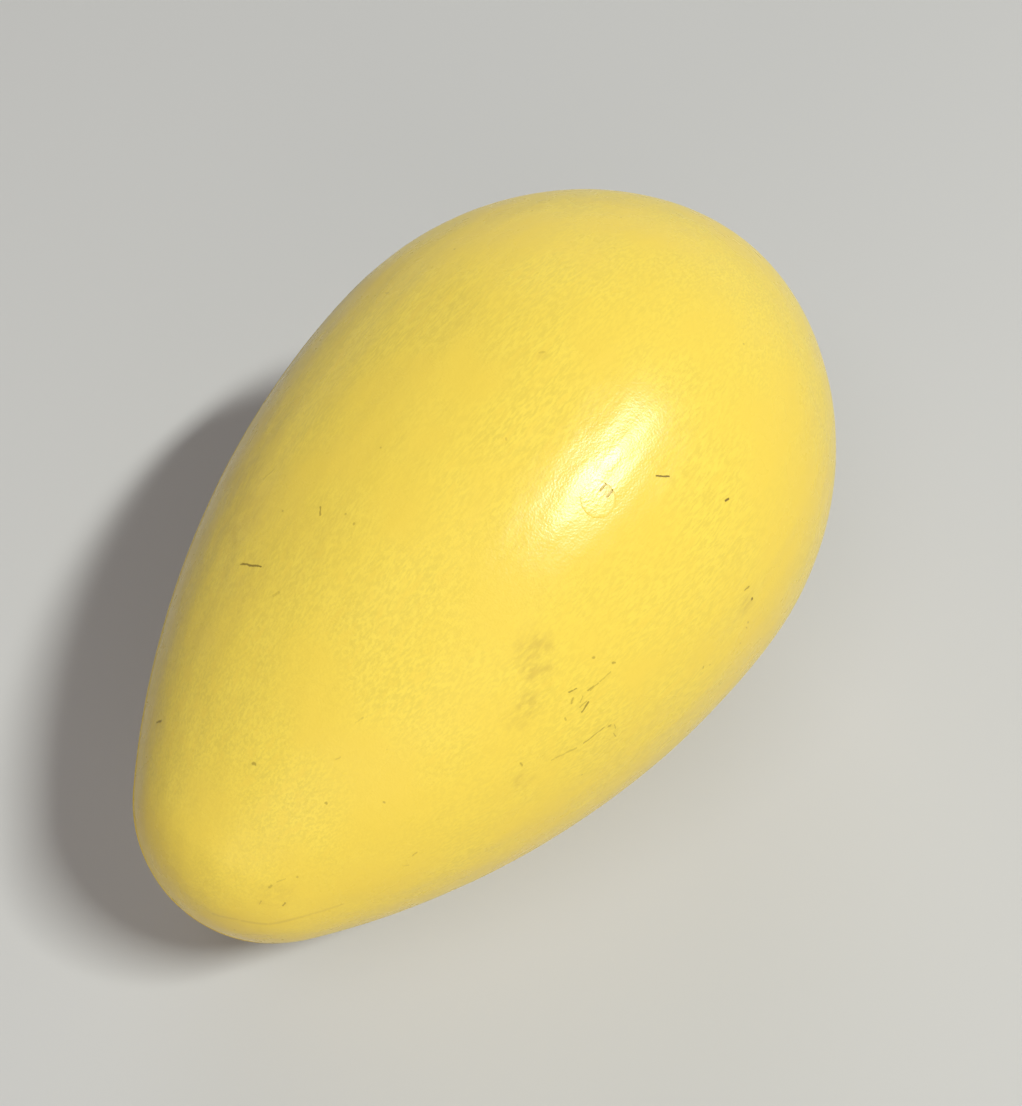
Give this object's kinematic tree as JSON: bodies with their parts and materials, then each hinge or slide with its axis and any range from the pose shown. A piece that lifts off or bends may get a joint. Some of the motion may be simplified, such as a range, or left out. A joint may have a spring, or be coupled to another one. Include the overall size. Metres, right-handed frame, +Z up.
{
  "type": "egg-shaped play ball",
  "caption": "Egg-shaped hollow play ball moulded in yellow hard plastic, lying on its side, with a small press-in plug that closes its moulding hole.",
  "frame": {"origin": "on the ground, under the middle of the resting ball's length and width", "axes": "+Z up, +X along the ball's length towards its blunt end, +Y across it; the ball lies at rest, with its narrow end lower"},
  "size_m": [0.303, 0.192, 0.1944],
  "materials": {
    "shell_plastic": "satin-gloss yellow polyethylene with a fine orange-peel grain, light scuffs and faint stains",
    "plug_plastic": "the same yellow polyethylene, moulded smooth, with dirt in its rim and pry slots"
  },
  "bodies": {
    "shell": {"ball_shell": "shell_plastic"},
    "plug": {"seal_plug": "plug_plastic"}
  },
  "joints": [
    {"name": "plug_pull", "type": "slide", "parent": "shell", "child": "plug", "axis": [-0.2334, -0.5195, 0.822], "range_m": [0, 0.014]}
  ]
}
